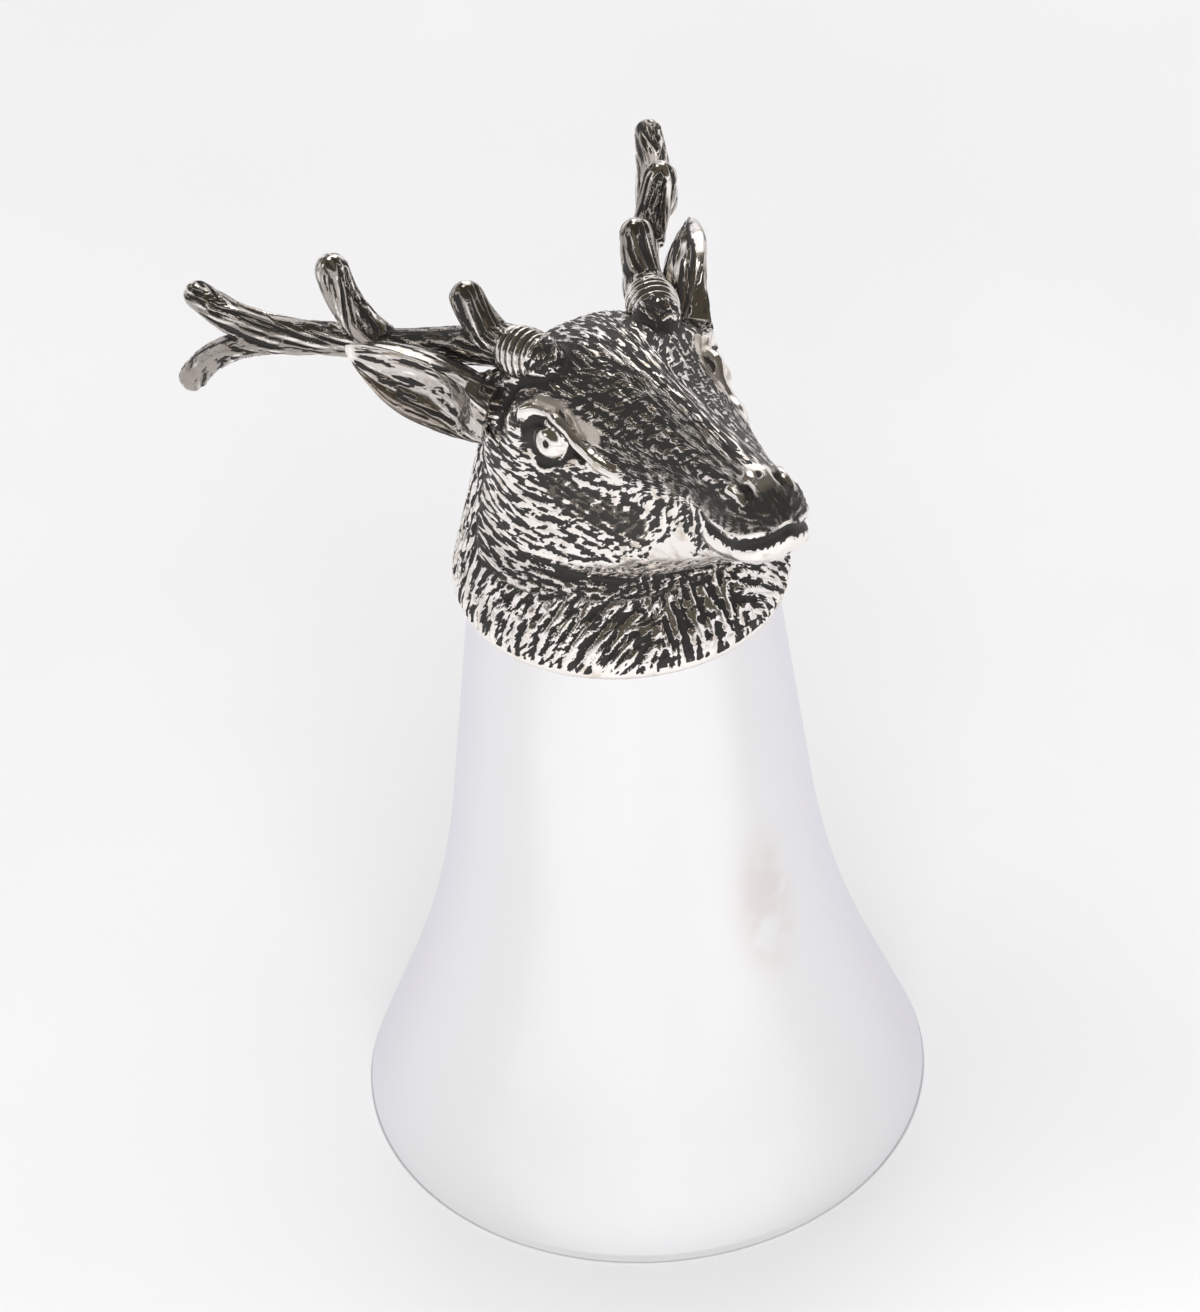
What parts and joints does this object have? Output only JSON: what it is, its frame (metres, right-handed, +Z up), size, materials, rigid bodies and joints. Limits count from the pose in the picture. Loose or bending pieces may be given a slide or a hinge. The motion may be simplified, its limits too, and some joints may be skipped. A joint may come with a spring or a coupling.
{
  "type": "stirrup cup",
  "caption": "Footless pewter stirrup cup: a flared bell that stands on its rim, closed by a cast stag's head with a hair ruff, swept-back antlers and cupped ears.",
  "frame": {"origin": "The middle of the rim that the cup stands on, on the cup's axis, with the whole cup above it.", "axes": "Z runs up the cup's axis from the rim to the head. The stag faces along -Y, so its right side is on -X."},
  "size_m": [0.07, 0.0825, 0.1172],
  "materials": {
    "polished_pewter": "satin-polished pewter, pale and soft in its reflections",
    "antiqued_pewter": "cast pewter darkened with patina, its raised hair rubbed bright"
  },
  "bodies": {
    "root": {"cup_shell": "polished_pewter", "solder_seam": "polished_pewter", "head_casting": "antiqued_pewter", "right_antler": "antiqued_pewter", "left_antler": "antiqued_pewter", "right_ear": "antiqued_pewter", "left_ear": "antiqued_pewter"}
  },
  "joints": []
}
